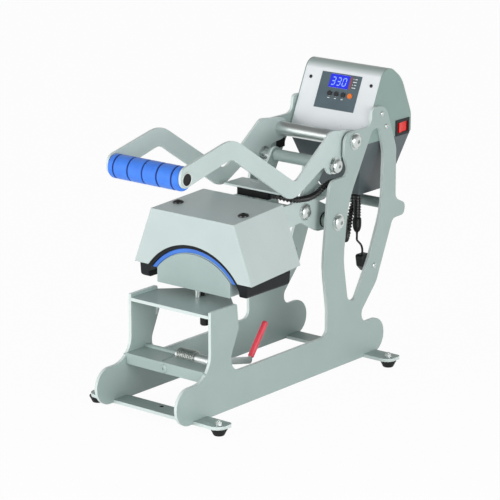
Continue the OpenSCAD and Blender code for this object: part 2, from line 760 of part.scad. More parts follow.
// Board behind the face, on four standoffs
board = [100, 76, 1.6];
board_drop = 8;
module circuit_board() {
    color("#2f6b3d") on_face(0, 40) {
        translate([-board.x / 2, 0, -box_t - board_drop - board.z]) cube(board);
        for (u = [-44, 44], v = [6, board.y - 6]) translate([u, v, -box_t - board_drop])
            cylinder(h = board_drop, r = 3);
    }
}

// Rocker switch in its bezel, on the right side panel
switch_at = [312, 431];
switch_window = [31, 19];
switch_depth = 14;
module switch_bezel() {
    color("#17181a") difference() {
        union() {
            translate([box_half, switch_at.x - 21, switch_at.y - 15]) cube([2, 42, 30]);
            translate([box_half - switch_depth, switch_at.x - 17.7, switch_at.y - 11.7])
                cube([switch_depth, 35.4, 23.4]);
        }
        translate([box_half - switch_depth + 2, switch_at.x - switch_window.x / 2, switch_at.y - switch_window.y / 2])
            cube([switch_depth + 2, switch_window.x, switch_window.y]);
        translate([box_half - 3, switch_at.x, switch_at.y - 11]) cylinder(h = 22, r = 1.5 + running);
    }
}
// Rocker, resting on its rear half; it turns about an upright pin
rock_angle = 8;
module power_rocker() {
    color("#e03a2a") translate([box_half - 3, switch_at.x, switch_at.y]) rotate(rock_angle) {
        translate([0, 0, 0.3 - switch_window.y / 2]) linear_extrude(switch_window.y - 0.6)
            polygon([[5, -14.3], [3.6, 0], [5, 14.3], [-2, 14.3], [-5, 6], [-5, -6], [-2, -14.3]]);
        translate([0, 0, -10.8]) cylinder(h = 21.6, r = 1.5);
    }
}
// Snap-in mains inlet on the back, with its three pins
inlet_deep = 22;
module power_inlet() {
    color("#17181a") difference() {
        union() {
            translate([inlet_at.x - 16, box_back, inlet_at.y - 12]) cube([32, 2, 24]);
            translate([inlet_at.x - inlet.x / 2 + gap, box_back - inlet_deep, inlet_at.y - inlet.y / 2 + gap])
                cube([inlet.x - 2 * gap, inlet_deep, inlet.y - 2 * gap]);
        }
        translate([inlet_at.x - 12, box_back - inlet_deep + 3, inlet_at.y - 8]) cube([24, inlet_deep, 16]);
    }
    color("#c9cfcd") for (p = [[-7, -2], [0, 2], [7, -2]])
        translate([inlet_at.x + p.x - 1, box_back - inlet_deep + 3, inlet_at.y + p.y - 2]) cube([2, 9, 4]);
}

// Tube swept along points, each with its own radius, closed at both ends
function heading(p, i) = unit(p[min(i + 1, len(p) - 1)] - p[max(i - 1, 0)]);
function turned(u, t) = unit(u - (u * t) * t);
function first_side(t) = turned(abs(t.x) < 0.9 ? [1, 0, 0] : [0, 0, 1], t);
function sides_of(p) = [for (i = 0, u = first_side(heading(p, 0)); i < len(p);
    i = i + 1, u = i < len(p) ? turned(u, heading(p, i)) : u) u];
module swept_tube(p, r, sides) {
    n = len(p);
    along = [for (i = [0:n - 1]) heading(p, i)];
    across_u = sides_of(p);
    rings = [for (i = [0:n - 1], k = [0:sides - 1])
        p[i] + r[i] * (across_u[i] * cos(360 * k / sides) + cross(along[i], across_u[i]) * sin(360 * k / sides))];
    walls = [for (i = [0:n - 2], k = [0:sides - 1])
        let (a = i * sides + k, b = i * sides + (k + 1) % sides)
        each [[a, b + sides, b], [a, a + sides, b + sides]]];
    caps = [for (k = [1:sides - 2]) each [[0, k, k + 1],
        [(n - 1) * sides, (n - 1) * sides + k + 1, (n - 1) * sides + k]]];
    polyhedron(points = rings, faces = concat(walls, caps));
}
// Smooth curve through a route of hand-placed points
function bend(p, i, t) = let (n = len(p) - 1,
        a = i > 0 ? p[i - 1] : 2 * p[0] - p[1], b = p[i], c = p[i + 1], d = i + 2 <= n ? p[i + 2] : 2 * p[n] - p[n - 1])
    0.5 * (2 * b + (c - a) * t + (2 * a - 5 * b + 4 * c - d) * t * t + (3 * b - a - 3 * c + d) * t * t * t);
function curve(p, steps) = [for (i = [0:len(p) - 2], k = [0:steps - 1]) bend(p, i, k / steps), p[len(p) - 1]];

// Cables: the heater cable hangs in a loop over the platen pivot, the sensor lead ends in its clamp
gland_r = 9;
gland_h = 8;
heater_gland = [15, 262];
lead_gland = [31, 252, tray_z];
boot_end = [42, 238, 232];
magnet_end = [magnet.x / 2, magnet_y + magnet.y / 2, carrier_top - carrier_t - magnet.z / 2];
heater_route = [magnet_end, magnet_end + [5, 0, 0], magnet_end + [12, 0, 0], [60, -2, 351], [69, 12, 347],
    [71.5, 32, 344.5], [71.5, 56, 343], [71.5, 78, 347], [71.5, 97, 355], [71.5, 120, 359], [70, 144, 352],
    [64, 166, 324], [55, 182, 278], [46, 194, 240], [36, 211, 226], [29, 226, 233], [25, 236, 247],
    [18, 251, 268], [heater_gland.x, heater_gland.y, 282], [heater_gland.x, heater_gland.y, 290],
    [heater_gland.x, heater_gland.y, tray_z - gland_h]];
boot_way = unit(boot_end - lead_gland);
lead_route = [boot_end, boot_end + 3 * boot_way, boot_end + 6 * boot_way, [46, 233, 222], [55, 226, 221],
    [66, 217.5, 220.5], [75, 209, 219.5], [80, 204, 217], [clamp_x, 203, 214], [clamp_x, 203, 211],
    [clamp_x, 203, clamp_top]];
rib_h = 1.2;
boot_ribs = 9;
// Heater gland, and the sensor lead's ribbed boot, which tapers along its slant
module cable_glands() {
    long = norm(boot_end - lead_gland);
    function boot_r(t) = 6.5 - 3.5 * t;
    color("#17181a") {
        translate([heater_gland.x, heater_gland.y, tray_z - gland_h]) cylinder(h = gland_h, r = gland_r);
        intersection() {
            translate(lead_gland) rotate([0, acos(boot_way.z), atan2(boot_way.y, boot_way.x)]) translate([0, 0, -6])
                rotate_extrude($fn = 24) polygon(concat([[0, 0], [boot_r(0), 0], [boot_r(0), 6]],
                    [for (i = [0:boot_ribs - 1], q = [[0.1, 0], [0.6, 0], [0.6, -0.9], [1, -0.9]])
                        [boot_r((i + q.x) / boot_ribs) + q.y, 6 + long * (i + q.x) / boot_ribs]],
                    [[0, 6 + long]]));
            translate([lead_gland.x, lead_gland.y, 0]) cylinder(h = tray_z, r = 60);
        }
    }
}
module heater_cable() {
    ribs = curve(heater_route, 9);
    n = len(ribs) - 1;
    color("#141517") swept_tube(ribs, [for (i = [0:n]) (i < 2 || i > n - 2 || i % 2 == 0) ? cable_r - rib_h : cable_r], 8);
}
module sensor_lead() {
    line = curve(lead_route, 3);
    color("#141517") swept_tube(line, [for (p = line) lead_r], 8);
}
module lead_clamp() {
    color("#141517") difference() {
        slab(x_in - 15, 15) polygon(rounded([[190, clamp_top, 4], [214, clamp_top, 5],
            [clamp_at.x + 11, clamp_at.y + 9, 6], [clamp_at.x + 11, clamp_at.y - 9, 6],
            [207, clamp_at.y - 10, 5], [194, 186, 4]]));
        rod(clamp_at, 3.1, x_in - 11, x_in + 1);
    }
}

// Hold-down lever, whose hub and spring turn on the fixed rod across the necks
hub_r = spring_r * cos(22.5) - wire_d / 2 - 0.4;
hub_x = coil_x - 4;
bar_x = 57.5;
bar_t = 5;
bar_half = 6;
rise_half = 3.5;
elbow = [-103, 73];
tip = [-60, 129];
function side_of(v) = [v.y, -v.x];
function strip(a, b, half) = let (w = half * side_of(unit(b - a))) [a + w, b + w, b - w, a - w];
module hold_down_shaft() { color("#9aa7a4") rod(rod_at, rod_r, -x_in, x_in); }
module hold_down_lever() {
    color("#c9cfcd") {
        slab(bar_x, bar_t) difference() {
            union() {
                translate(rod_at) circle(r = 11);
                polygon(strip(rod_at, elbow, bar_half));
                translate(elbow) circle(r = bar_half);
                polygon(strip(elbow, tip, rise_half));
                translate(tip) circle(r = rise_half);
            }
            translate(rod_at) circle(r = rod_r + running);
        }
        ring(rod_at, hub_r, rod_r + running, hub_x, bar_x);
    }
}
sleeve_from = 7;
sleeve_r = 5.5;
module lever_sleeve() {
    from = elbow + unit(tip - elbow) * sleeve_from;
    long = norm(tip - from) + 7;
    angle = atan2(tip.y - elbow.y, tip.x - elbow.x);
    color("#e0505f") difference() {
        translate([bar_x + bar_t / 2, from.x, from.y]) rotate([angle - 90, 0, 0])
            rotate_extrude() polygon([[0, 0], [sleeve_r - 0.7, 0], [sleeve_r, 1], [sleeve_r, long - 3],
                [sleeve_r - 1.6, long - 0.8], [0, long]]);
        hold_down_lever();
    }
}
// Return spring: one unbroken wire, front leg against the crossbar, back leg under the lever bar
coil_end = coil_x + spring_turns * spring_pitch;
coil_steps = spring_turns * 8;
tip_gap = 0.8;
front_leg = [[leg_x, crossbar_y + crossbar_t + tip_gap, rod_at.y - 6],
    [leg_x, crossbar_y + crossbar_t + 6, rod_at.y - 6.6], [leg_x, rod_at.x - 18, rod_at.y - spring_r + 1]];
leg_y = rod_at.x + 38;
bar_slope = (elbow.y - rod_at.y) / (elbow.x - rod_at.x);
leg_under = rod_at.y + 38 * bar_slope - (bar_half + wire_d / 2 + gap) * sqrt(1 + bar_slope * bar_slope);
back_leg = [[coil_end + 2, rod_at.x + 14, rod_at.y - spring_r], [coil_end + 10, rod_at.x + 28, leg_under + 2],
    [bar_x - 6, leg_y - 2, leg_under], [bar_x - 1, leg_y, leg_under], [bar_x + bar_t, leg_y, leg_under]];
coil = [for (i = [0:coil_steps]) let (a = 45 * i - 90)
    [coil_x + spring_pitch * i / 8, rod_at.x + spring_r * cos(a), rod_at.y + spring_r * sin(a)]];
coil_gap = min([for (i = [0:coil_steps - 8], j = [i + 4:min(i + 12, coil_steps)]) norm(coil[j] - coil[i]) - wire_d]);
echo(least_gap_of_return_spring = coil_gap);
module return_spring() {
    wire = concat(front_leg, coil, back_leg);
    color("#e3e6e4") swept_tube(wire, [for (p = wire) wire_d / 2], 6);
}

left_side_plate();
right_side_plate();
platform();
front_crossbar();
rear_cross_tube();
foot_bars();
rubber_feet();
foot_bolts();
frame_screws();
handle_pivot_bolt();
platen_pivot_shaft();
tower_spacers();
left_handle_arm();
right_handle_arm();
handle_cross_tube();
handle_bar();
grip();
handle_bushes();
link_axle();
axle_sleeves();
left_link();
right_link();
left_platen_arm();
right_platen_arm();
platen_cross_tube();
platen_bushes();
link_joint_bolts();
carrier_plate();
magnet_block();
hanger_plate();
platen_studs();
heat_platen();
platen_cover();
cover_screws();
lower_platen();
form_front_plate();
form_pad();
form_posts();
rubber_stop();
control_wrap();
control_sides();
control_tray();
face_overlay();
display();
key_1();
key_2();
key_3();
key_start();
circuit_board();
switch_bezel();
power_rocker();
power_inlet();
cable_glands();
heater_cable();
sensor_lead();
lead_clamp();
hold_down_shaft();
hold_down_lever();
lever_sleeve();
return_spring();
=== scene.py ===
# %% [markdown]
# # A cap heat press, dressed part by part
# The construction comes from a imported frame: every plate, pin and bolt is already in place, in metres.
# This lesson gives those parts their finish, and builds the few pieces that a construction tool leaves
# plain: the foam grip, the cables, the wound spring, the display's digits and the printed marks.

# %% Load the frame
import json
import math

import bmesh
import bpy
from mathutils import Matrix, Vector


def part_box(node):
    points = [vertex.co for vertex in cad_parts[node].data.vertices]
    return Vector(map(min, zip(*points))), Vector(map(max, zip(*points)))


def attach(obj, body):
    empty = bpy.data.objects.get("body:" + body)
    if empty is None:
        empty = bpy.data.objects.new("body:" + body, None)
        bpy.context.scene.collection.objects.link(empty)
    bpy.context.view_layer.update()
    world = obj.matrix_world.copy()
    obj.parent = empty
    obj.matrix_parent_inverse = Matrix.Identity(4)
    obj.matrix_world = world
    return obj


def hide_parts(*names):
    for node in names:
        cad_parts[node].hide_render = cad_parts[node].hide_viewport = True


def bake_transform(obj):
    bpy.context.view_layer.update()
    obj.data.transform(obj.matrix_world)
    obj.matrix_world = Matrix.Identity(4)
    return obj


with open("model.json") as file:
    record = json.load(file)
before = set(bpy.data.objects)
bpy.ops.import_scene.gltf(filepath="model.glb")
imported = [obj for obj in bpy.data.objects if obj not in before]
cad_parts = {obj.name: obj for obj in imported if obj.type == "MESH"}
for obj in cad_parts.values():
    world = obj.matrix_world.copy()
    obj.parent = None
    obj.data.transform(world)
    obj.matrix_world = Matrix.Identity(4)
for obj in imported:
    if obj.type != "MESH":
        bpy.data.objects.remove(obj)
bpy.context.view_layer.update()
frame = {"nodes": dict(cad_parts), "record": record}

MM = 0.001

# %% [markdown]
# ## The camera
# A product photograph is taken from far away with a long lens, so that upright edges stay nearly upright.
# The three numbers that matter are the turn round the object, the height above it and the distance.
# The camera's own axes are worked out from the two angles, which avoids any tracking constraint.

# %% Camera
TURN = math.radians(39.2172)
RISE = math.radians(15.5223)
DISTANCE = 4740.3 * MM
SIDE_STEP = 10.2 * MM
HEIGHT_STEP = 241.5 * MM
AIM = Vector((0, -43 * MM, 3 * MM))
LENS = 187.2

right = Vector((math.cos(TURN), math.sin(TURN), 0))
back = Vector((math.sin(TURN) * math.cos(RISE), -math.cos(TURN) * math.cos(RISE), math.sin(RISE)))
up = back.cross(right)
camera_data = bpy.data.cameras.new("camera")
camera_data.lens = LENS
camera_data.sensor_width = 36
camera = bpy.data.objects.new("camera", camera_data)
bpy.context.scene.collection.objects.link(camera)
place = AIM + right * SIDE_STEP + up * HEIGHT_STEP + back * DISTANCE
camera.matrix_world = Matrix.Translation(place) @ Matrix((right, up, back)).transposed().to_4x4()
bpy.context.scene.camera = camera
bpy.context.scene.view_settings.view_transform = "Standard"
print("camera at", [round(v, 3) for v in place])

# %% [markdown]
# ## Small helpers
# Almost every piece here starts as a list of points and faces. `piece` turns them into an object that
# rides on one body of the machine. `hex_colour` turns the colours that people write, which are sRGB,
# into the linear values that a shader wants.

# %% Helpers for meshes and colours
def hex_colour(text):
    def linear(v):
        return v / 12.92 if v <= 0.04045 else ((v + 0.055) / 1.055) ** 2.4
    return (*(linear(int(text[i:i + 2], 16) / 255) for i in (1, 3, 5)), 1.0)


def smooth_by_angle(mesh, degrees=32):
    mesh.shade_smooth()
    mesh.set_sharp_from_angle(angle=math.radians(degrees))


def piece(name, points, faces, body, material, smooth=32):
    mesh = bpy.data.meshes.new(name)
    mesh.from_pydata([tuple(p) for p in points], [], [tuple(f) for f in faces])
    mesh.update()
    return from_mesh(name, mesh, body, material, smooth)


def from_mesh(name, mesh, body, material, smooth=32):
    if smooth:
        smooth_by_angle(mesh, smooth)
    obj = bpy.data.objects.new(name, mesh)
    bpy.context.scene.collection.objects.link(obj)
    mesh.materials.clear()
    mesh.materials.append(material)
    if body:
        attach(obj, body)
    return obj


def applied(obj):
    """The object's evaluated mesh, with every modifier in it."""
    graph = bpy.context.evaluated_depsgraph_get()
    return bpy.data.meshes.new_from_object(obj.evaluated_get(graph), depsgraph=graph)


def outward(mesh):
    """Merges doubles and turns every face outwards."""
    work = bmesh.new()
    work.from_mesh(mesh)
    bmesh.ops.remove_doubles(work, verts=work.verts, dist=1e-6)
    bmesh.ops.recalc_face_normals(work, faces=work.faces)
    work.to_mesh(mesh)
    work.free()
    return mesh


NODE_BODY = {node: body for body, nodes in frame["record"]["behaviour"]["bodies"].items() for node in nodes}
NODE_SLOT = {row["node"]: row["material_slot"] for row in frame["record"]["subparts"]}

# %% [markdown]
# ## Materials, a few small functions for nodes
# Each finish but the display's is a Principled shader with a pattern or two in front of it. `add` places one
# node, sets its inputs and wires its links. The short functions after it name what the finishes share.
# Patterns are measured in millimetres on Object coordinates, so a scale of 1000 / size repeats once per size.

# %% Node helpers
def new_material(name, colour, roughness, metallic=0.0, **inputs):
    made = bpy.data.materials.new(name)
    made.use_nodes = True
    shader = made.node_tree.nodes["Principled BSDF"]
    shader.inputs["Base Color"].default_value = hex_colour(colour)
    shader.inputs["Roughness"].default_value = roughness
    shader.inputs["Metallic"].default_value = metallic
    for key, value in inputs.items():
        shader.inputs[key.replace("_", " ")].default_value = value
    return made, made.node_tree, shader


def add(tree, kind, links=(), **settings):
    """One node: settings that name a property set it, the rest name an input; links are (input, socket)."""
    node = tree.nodes.new(kind)
    for key, value in settings.items():
        if hasattr(node, key):
            setattr(node, key, value)
        else:
            node.inputs[key.replace("_", " ")].default_value = value
    for name, socket in links:
        tree.links.new(node.inputs[name], socket)
    return node


def place_of(tree):
    return add(tree, "ShaderNodeTexCoord").outputs["Object"]


def noise(tree, where, size_mm, detail):
    """Soft noise whose blotches are about size_mm across."""
    made = add(tree, "ShaderNodeTexNoise", [("Vector", where)], Scale=1 / (size_mm * MM), Detail=detail)
    return made.outputs["Fac"]


def spread(tree, socket, low, high, to_low, to_high):
    ranged = add(tree, "ShaderNodeMapRange", [("Value", socket)], From_Min=low, From_Max=high, To_Min=to_low,
                 To_Max=to_high)
    return ranged.outputs["Result"]


def swing(tree, pattern, to_low, to_high):
    """Noise stays mostly between 0.3 and 0.7, so that part is stretched over the wanted range."""
    return spread(tree, pattern, 0.3, 0.7, to_low, to_high)


def summed(tree, first, second):
    return add(tree, "ShaderNodeMath", [(0, first), (1, second)], operation="ADD").outputs[0]


def roughened(tree, shader, pattern, low, high):
    tree.links.new(shader.inputs["Roughness"], swing(tree, pattern, low, high))


def bumped(tree, shader, height, strength, depth_mm):
    bump = add(tree, "ShaderNodeBump", [("Height", height)], Strength=strength, Distance=depth_mm * MM)
    tree.links.new(shader.inputs["Normal"], bump.outputs["Normal"])


def between(tree, shader, factor, low, high):
    """Base colour that runs from low to high with a factor; each is a hex colour or a socket."""
    mix = add(tree, "ShaderNodeMix", data_type="RGBA")
    tree.links.new(mix.inputs[0], factor)
    for place, colour in ((6, low), (7, high)):
        if isinstance(colour, str):
            mix.inputs[place].default_value = hex_colour(colour)
        else:
            tree.links.new(mix.inputs[place], colour)
    tree.links.new(shader.inputs["Base Color"], mix.outputs[2])
    return mix.outputs[2]


# %% [markdown]
# ## Powder coat
# The frame is laser-cut steel under silver powder coat: a fused polyester layer about 0.08 mm thick.
# It gives a soft satin sheen, a faint orange peel with bumps about 2 mm across, and a very fine metallic
# fleck. The fleck is drawn at 0.8 mm, coarser than the real pigment, so that it shows at all.
# Over the top bend the controller's pearl coat is painted grey-green: a painted shade that stands for the
# dark ceiling the bend reflects. That is set to match the photograph.

# %% Powder coat
def powder_coat(name, colour, deep, roughness=0.42, peel=0.10, metallic=0.0, top=None):
    """A top colour, if given, is painted shade and takes over where the surface turns upwards."""
    made, tree, shader = new_material(name, colour, roughness, metallic, Specular_IOR_Level=0.5,
                                      Coat_Weight=0.12, Coat_Roughness=0.28)
    where = place_of(tree)
    orange_peel = noise(tree, where, 2.2, 2.0)
    fleck = noise(tree, where, 0.8, 1.0)
    cloud = noise(tree, where, 90, 3.0)
    speck = summed(tree, spread(tree, fleck, 0.35, 0.65, 0, 0.55), swing(tree, cloud, 0, 0.45))
    coat = between(tree, shader, speck, deep, colour)
    if top:
        normal = add(tree, "ShaderNodeNewGeometry").outputs["Normal"]
        facing = add(tree, "ShaderNodeSeparateXYZ", [("Vector", normal)])
        between(tree, shader, spread(tree, facing.outputs["Z"], 0.44, 0.84, 0, 1), coat, top)
    roughened(tree, shader, cloud, roughness - 0.05, roughness + 0.06)
    bumped(tree, shader, orange_peel, peel, 0.25)
    return made


frame_coat = powder_coat("powder_coat_silver", "#ABBDB9", "#9DAFAB")
# The arms, the platen arms and the carrier plate get the frame's silver painted lighter: a painted highlight
arm_coat_painted_highlight = powder_coat("powder_coat_silver_arms_painted_highlight", "#C6D6D3", "#BBCBC8", 0.36)
# The coat of the thin cut faces is paler still, partly a painted highlight
edge_coat_painted_highlight = powder_coat("powder_coat_silver_edges_painted_highlight", "#DCE8E5", "#D0DDDA", 0.34)
cover_coat = powder_coat("powder_coat_pale_silver", "#C6D4D2", "#BBC9C7", 0.38)
# The pearl coat's top colour is painted shade over the top bend
face_coat = powder_coat("powder_coat_pearl_painted_top_shade", "#F1F5F7", "#E8EDF0", 0.32, 0.06, 0.12, "#B0BFBB")
panel_coat = powder_coat("powder_coat_grey_green", "#8FA6A0", "#859C96")
tray_coat = powder_coat("powder_coat_slate", "#4C5A5E", "#434F53")

# %% [markdown]
# ## Bright metals
# Bolts are zinc plated: a bright, slightly cloudy metal. The handle's two tubes are turned and polished
# steel. Lathe marks run round a tube, so their pattern is short along X and long across it.

# %% Zinc, turned steel and spring wire
def plated_zinc(name, colour, cloud_mm=6.0, roughness=0.26):
    made, tree, shader = new_material(name, colour, roughness, 1.0)
    where = place_of(tree)
    cloud = noise(tree, where, cloud_mm, 4.0)
    grain = noise(tree, where, 0.7, 2.0)
    roughened(tree, shader, cloud, roughness - 0.06, roughness + 0.12)
    bumped(tree, shader, grain, 0.08, 0.05)
    return made


def turned_steel(name, colour, roughness, stretch, mark_mm):
    made, tree, shader = new_material(name, colour, roughness, 1.0)
    mapping = add(tree, "ShaderNodeMapping", [("Vector", place_of(tree))], Scale=stretch)
    marks = noise(tree, mapping.outputs["Vector"], mark_mm, 3.0)
    roughened(tree, shader, marks, roughness - 0.05, roughness + 0.08)
    bumped(tree, shader, marks, 0.10, 0.04)
    return made


zinc = plated_zinc("zinc_plate_bright", "#D2D8D6")
tube_steel = turned_steel("steel_turned_polished", "#DDE3E1", 0.34, (0.15, 0.004, 0.004), 0.5)
wire_steel = turned_steel("spring_wire_drawn", "#C2C7C3", 0.40, (1.0, 1.0, 1.0), 1.2)
bar_steel = plated_zinc("steel_bar_dull", "#DCE1E0", 8.0, 0.46)

# %% [markdown]
# ## Black and blue parts
# The heat platen is cast aluminium under a baked black non-stick coat. The pad is moulded silicone, the grip
# is closed-cell foam with cells near 1 mm, the feet are moulded rubber, and the heater cable lies in a nylon
# conduit. The display's two colours glow evenly and have no pattern.

# %% Coatings, rubbers and plastics
def mottled(name, colour, deep, roughness, grain_mm, strength, **inputs):
    made, tree, shader = new_material(name, colour, roughness, 0.0, **inputs)
    where = place_of(tree)
    grain = noise(tree, where, grain_mm, 3.0)
    cloud = noise(tree, where, 40, 2.0)
    between(tree, shader, swing(tree, cloud, 0, 1), deep, colour)
    roughened(tree, shader, grain, roughness - 0.05, min(1, roughness + 0.07))
    bumped(tree, shader, grain, strength, 0.1)
    return made


def cell_foam(name, colour, deep):
    made, tree, shader = new_material(name, colour, 0.62, 0.0, Sheen_Weight=0.2, Sheen_Roughness=0.5)
    where = place_of(tree)
    cells = add(tree, "ShaderNodeTexVoronoi", [("Vector", where)], Scale=1 / (1.3 * MM)).outputs["Distance"]
    cloud = noise(tree, where, 14, 3.0)
    tone = summed(tree, spread(tree, cells, 0, 0.7, 0.6, 0), swing(tree, cloud, 0, 0.4))
    between(tree, shader, tone, colour, deep)
    bumped(tree, shader, cells, 0.25, 0.25)
    return made


def lit(name, colour, strength):
    """A plain glowing colour, with no pattern of its own."""
    return new_material(name, colour, 0.5, Emission_Color=hex_colour(colour), Emission_Strength=strength)[0]


platen_black = mottled("non_stick_coat_black", "#171C20", "#111518", 0.46, 1.6, 0.16, Specular_IOR_Level=0.2)
# The screws' black oxide also serves as painted shade in the bench hole
screw_black_and_hole_shade = mottled("black_oxide_and_hole_shade", "#121416", "#0C0E0F", 0.24, 0.9, 0.06, Coat_Weight=0.2)
magnet_black = mottled("ferrite_black", "#0E0F11", "#090A0B", 0.55, 0.8, 0.20, Specular_IOR_Level=0.25)
silicone = mottled("silicone_blue", "#4180E0", "#3A74D2", 0.48, 1.2, 0.10)
foam = cell_foam("foam_blue", "#3A86F4", "#2A70E2")
# The floors of the grip's grooves are painted a darker blue: painted shade in the grooves
groove_painted_shade = cell_foam("foam_blue_painted_groove_shade", "#153C92", "#102F78")
rubber = mottled("rubber_black", "#111314", "#0B0C0D", 0.66, 0.9, 0.22, Specular_IOR_Level=0.3)
conduit = mottled("nylon_conduit_black", "#0B0C0E", "#070809", 0.3, 0.7, 0.06, Coat_Weight=0.12)
jacket = mottled("cable_jacket_black", "#0F1112", "#0A0B0C", 0.42, 0.7, 0.18, Specular_IOR_Level=0.35)
abs_black = mottled("abs_black", "#121416", "#0D0E10", 0.42, 0.5, 0.12, Specular_IOR_Level=0.35)
abs_red = mottled("abs_red", "#E6170D", "#D01008", 0.26, 0.6, 0.05, Specular_IOR_Level=0.4)
sleeve_red = mottled("vinyl_dip_red", "#E8485A", "#DA3C4E", 0.40, 3.0, 0.12, Coat_Weight=0.2)
nylon = mottled("nylon_black", "#131516", "#0D0F10", 0.48, 0.9, 0.10, Specular_IOR_Level=0.3)
film = mottled("polycarbonate_film_slate", "#56676F", "#4E5F67", 0.34, 0.6, 0.05)
key_dark = mottled("key_cap_black", "#22262B", "#1A1D21", 0.4, 0.6, 0.08)
key_orange = mottled("key_cap_orange", "#F27A1E", "#E4661A", 0.4, 0.6, 0.08)
solder_mask = mottled("solder_mask_green", "#2C6A3C", "#235831", 0.35, 0.8, 0.1)
print_white = mottled("ink_white", "#EEF1F2", "#E4E8EA", 0.5, 0.8, 0.02)
print_red = mottled("lens_red", "#8E5A66", "#7E4C58", 0.3, 0.8, 0.02)
lcd_blue = lit("lcd_backlight_blue", "#0A1CCB", 0.38)
lcd_digit = lit("lcd_segment_pale", "#86A8FF", 0.45)

SLOT_MATERIAL = {
    "frame_paint": frame_coat, "cover_paint": cover_coat, "box_paint": face_coat, "panel_paint": panel_coat,
    "zinc": zinc, "spring_steel": wire_steel, "black_coating": platen_black,
    "silicone": silicone, "grip_foam": foam, "black_rubber": rubber, "black_plastic": abs_black,
    "red_plastic": abs_red, "red_sleeve": sleeve_red, "overlay_film": film, "dark_key": key_dark,
    "orange_key": key_orange, "display_blue": lcd_blue, "board_green": solder_mask}
NODE_MATERIAL = {
    "control_tray": tray_coat, "magnet_block": magnet_black, "heater_cable": jacket, "sensor_lead": jacket,
    "handle_cross_tube": tube_steel, "handle_bar": tube_steel, "form_posts": tube_steel,
    "hold_down_lever": bar_steel, "cover_screws": screw_black_and_hole_shade, "handle_bushes": nylon, "platen_bushes": nylon,
    "left_handle_arm": arm_coat_painted_highlight, "right_handle_arm": arm_coat_painted_highlight, "left_platen_arm": arm_coat_painted_highlight,
    "right_platen_arm": arm_coat_painted_highlight, "carrier_plate": arm_coat_painted_highlight}


def finish_of(node):
    return NODE_MATERIAL.get(node) or SLOT_MATERIAL[NODE_SLOT[node]]


for node, obj in frame["nodes"].items():
    finish = finish_of(node)
    if not obj.material_slots:
        obj.data.materials.append(finish)
    for held in obj.material_slots:
        held.link = "OBJECT"
        held.material = finish
print(len(bpy.data.materials), "materials")

# %% [markdown]
# ## Broken edges
# Laser-cut and folded steel never has knife edges: the coat rounds them to about half a millimetre. That
# radius is what catches the light along every outline. The construction stays as it is, and a welded copy
# with a Bevel modifier stands in for each part whose outlines matter most.

# %% Softened copies of the rigid parts
def clear_sharp(mesh):
    for edge in mesh.edges:
        edge.use_edge_sharp = False


SHARP_ANGLE = math.radians(28)


def softened(node, width_mm, segments=2):
    source = frame["nodes"][node]
    mesh = source.data.copy()
    mesh.name = node + "_finished"
    work = bmesh.new()
    work.from_mesh(mesh)
    bmesh.ops.remove_doubles(work, verts=work.verts, dist=2e-6)
    bmesh.ops.dissolve_limit(work, angle_limit=math.radians(0.2), verts=work.verts, edges=work.edges)
    work.to_mesh(mesh)
    work.free()
    obj = from_mesh(node + "_finished", mesh, None, finish_of(node))
    clear_sharp(obj.data)
    bevel = obj.modifiers.new("edge", "BEVEL")
    bevel.width = width_mm * MM
    bevel.segments = segments
    bevel.limit_method = "ANGLE"
    bevel.angle_limit = SHARP_ANGLE
    bevel.use_clamp_overlap = True
    even = obj.modifiers.new("even", "WEIGHTED_NORMAL")
    even.weight = 80
    obj.data = applied(obj)
    obj.modifiers.clear()
    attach(obj, NODE_BODY[node])
    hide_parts(node)
    return obj


EDGE = {"left_side_plate": 0.6, "right_side_plate": 0.6, "left_handle_arm": 0.6, "right_handle_arm": 0.6,
        "platform": 0.5, "front_crossbar": 0.5, "foot_bars": 0.5, "left_link": 0.5, "right_link": 0.5,
        "left_platen_arm": 0.5, "right_platen_arm": 0.5, "carrier_plate": 0.4, "platen_cover": 0.7,
        "heat_platen": 0.8, "lower_platen": 0.5, "form_front_plate": 0.5, "control_wrap": 0.6,
        "control_sides": 0.5, "magnet_block": 0.8, "handle_pivot_bolt": 0.35, "platen_pivot_shaft": 0.35,
        "link_axle": 0.35, "link_joint_bolts": 0.35, "foot_bolts": 0.25, "cover_screws": 0.25,
        "power_inlet": 0.25, "frame_screws": 0.25, "handle_bar": 0.4, "switch_bezel": 0.5,
        "power_rocker": 0.5, "hold_down_lever": 0.4, "hold_down_shaft": 0.3, "form_posts": 0.3,
        "lead_clamp": 0.8, "rear_cross_tube": 0.4, "tower_spacers": 0.3, "axle_sleeves": 0.4,
        "handle_cross_tube": 0.4}
finished = {node: softened(node, width) for node, width in EDGE.items()}
print(len(finished), "parts with broken edges")


def painted_where(obj, material, test):
    """Gives the faces that pass the test of centre and normal a second material."""
    obj.data.materials.append(material)
    for face in obj.data.polygons:
        if test(face.center, face.normal):
            face.material_index = len(obj.data.materials) - 1


# The thin faces round a plate are paler than its broad ones: partly as powder draws back from a cut edge,
# partly a painted highlight
CUT_UPRIGHT = ["left_side_plate", "right_side_plate", "left_handle_arm", "right_handle_arm", "left_link",
               "right_link", "left_platen_arm", "right_platen_arm"]
for node in CUT_UPRIGHT:
    painted_where(finished[node], edge_coat_painted_highlight, lambda c, n: abs(n.x) < 0.9)
# The same painted highlight goes on the thin faces of the platform and the foot bars, and on the carrier
# plate's front edge
for node in ("platform", "foot_bars"):
    painted_where(finished[node], edge_coat_painted_highlight, lambda c, n: abs(n.z) < 0.9)
painted_where(finished["carrier_plate"], edge_coat_painted_highlight, lambda c, n: n.y < -0.5)
# The wall of the bench hole is painted nearly black, with the screws' black: painted shade inside the hole
BENCH_HOLE_Y, BENCH_HOLE_ROOM = -272 * MM, 6 * MM
painted_where(finished["foot_bars"], screw_black_and_hole_shade, lambda c, n: abs(n.z) < 0.9
              and (c.x ** 2 + (c.y - BENCH_HOLE_Y) ** 2) ** 0.5 < BENCH_HOLE_ROOM)

